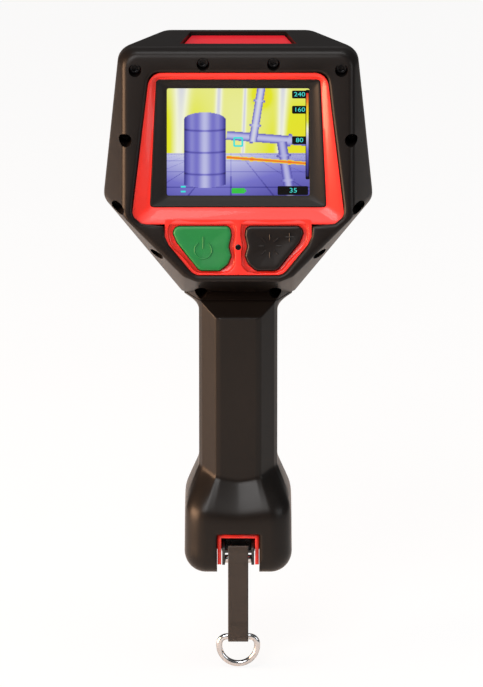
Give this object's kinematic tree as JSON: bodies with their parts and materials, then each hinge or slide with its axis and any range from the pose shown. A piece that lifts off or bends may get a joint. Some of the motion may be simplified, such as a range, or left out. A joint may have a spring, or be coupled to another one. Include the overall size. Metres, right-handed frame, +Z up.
{
  "type": "thermal imaging camera",
  "caption": "Hand-held thermal imaging camera: wide head with display and two buttons, lens at the front, grip, flared base, webbing strap and D-ring.",
  "frame": {"origin": "centre of the hand grip, 85 mm above the underside of the base", "axes": "+Z up along the grip, +Y the way the lens looks, +X to the user's right"},
  "size_m": [0.1322, 0.104, 0.3048],
  "materials": {
    "black_cover": "fine-grained black moulding",
    "red_housing": "semi-gloss red moulding",
    "seal_rubber": "matt black rubber",
    "bezel_black": "matt black moulding",
    "window": "clear hard-coated window over the lit display",
    "panel": "display panel",
    "pressed_metal": "pressed sheet",
    "button_green": "satin green silicone",
    "button_black": "satin black silicone",
    "keypad_rubber": "silicone mat",
    "circuit_board": "green solder resist",
    "switch_metal": "small pressed switches",
    "sensor_black": "dark filter lens",
    "plate_crimson": "smooth crimson plate",
    "zinc_steel": "zinc-plated screws",
    "spacer_brass": "turned brass",
    "flex_copper": "polyimide ribbon",
    "core_metal": "black anodised block",
    "barrel_black": "black anodised",
    "germanium": "coated germanium",
    "black_steel": "black oxide screws",
    "boot_rubber": "satin black rubber",
    "battery_black": "matt plastic case",
    "lead_red": "insulated leads",
    "door_black": "matt black moulding",
    "spring_steel": "spring steel",
    "bright_steel": "polished steel",
    "bracket_metal": "dark satin metal",
    "webbing": "woven webbing"
  },
  "bodies": {
    "camera": {"rear_cover": "black_cover", "front_cover": "black_cover", "rear_housing": "red_housing", "front_housing": "red_housing", "housing_gasket": "seal_rubber", "display_bezel": "bezel_black", "display_window": "window", "display_panel": "panel", "display_frame": "pressed_metal", "keypad": "keypad_rubber", "switch_board": "circuit_board", "tact_switches": "switch_metal", "sensor_lens": "sensor_black", "id_plate": "plate_crimson", "main_board": "circuit_board", "board_screws": "zinc_steel", "board_spacers": "spacer_brass", "display_flex": "flex_copper", "thermal_core": "core_metal", "core_bracket": "pressed_metal", "lens_barrel": "barrel_black", "germanium_lens": "germanium", "lens_retainer": "barrel_black", "lens_seal": "seal_rubber", "head_screws": "black_steel", "neck_seal": "seal_rubber", "neck_screws": "zinc_steel", "grip_core": "red_housing", "grip_boot": "boot_rubber", "battery_pack": "battery_black", "battery_contacts": "spacer_brass", "battery_leads": "lead_red", "door_pin": "bright_steel", "strap_bracket": "bracket_metal", "bracket_screws": "zinc_steel"},
    "power_button": {"power_button": "button_green"},
    "mode_button": {"mode_button": "button_black"},
    "battery_door": {"battery_door": "door_black", "door_seal": "seal_rubber", "door_clip": "spring_steel"},
    "strap": {"lanyard_strap": "webbing"},
    "ring": {"d_ring": "bright_steel"}
  },
  "joints": [
    {"name": "power_button_press", "type": "slide", "parent": "camera", "child": "power_button", "axis": [0, 0.9659, -0.2588], "range_m": [0, 0.001], "stiffness_N_per_m": 1500},
    {"name": "mode_button_press", "type": "slide", "parent": "camera", "child": "mode_button", "axis": [0, 0.9659, -0.2588], "range_m": [0, 0.001], "stiffness_N_per_m": 1500},
    {"name": "battery_door_swing", "type": "hinge", "parent": "camera", "child": "battery_door", "pos_m": [0, -0.023, -0.079], "axis": [-1, 0, 0], "range_deg": [0, 92]},
    {"name": "strap_swing", "type": "hinge", "parent": "camera", "child": "strap", "pos_m": [0, -0.0292, -0.0733], "axis": [-1, 0, 0], "range_deg": [-8, 110]},
    {"name": "ring_swing", "type": "hinge", "parent": "strap", "child": "ring", "pos_m": [0, -0.0292, -0.1171], "axis": [-1, 0, 0], "range_deg": [-90, 110]}
  ]
}
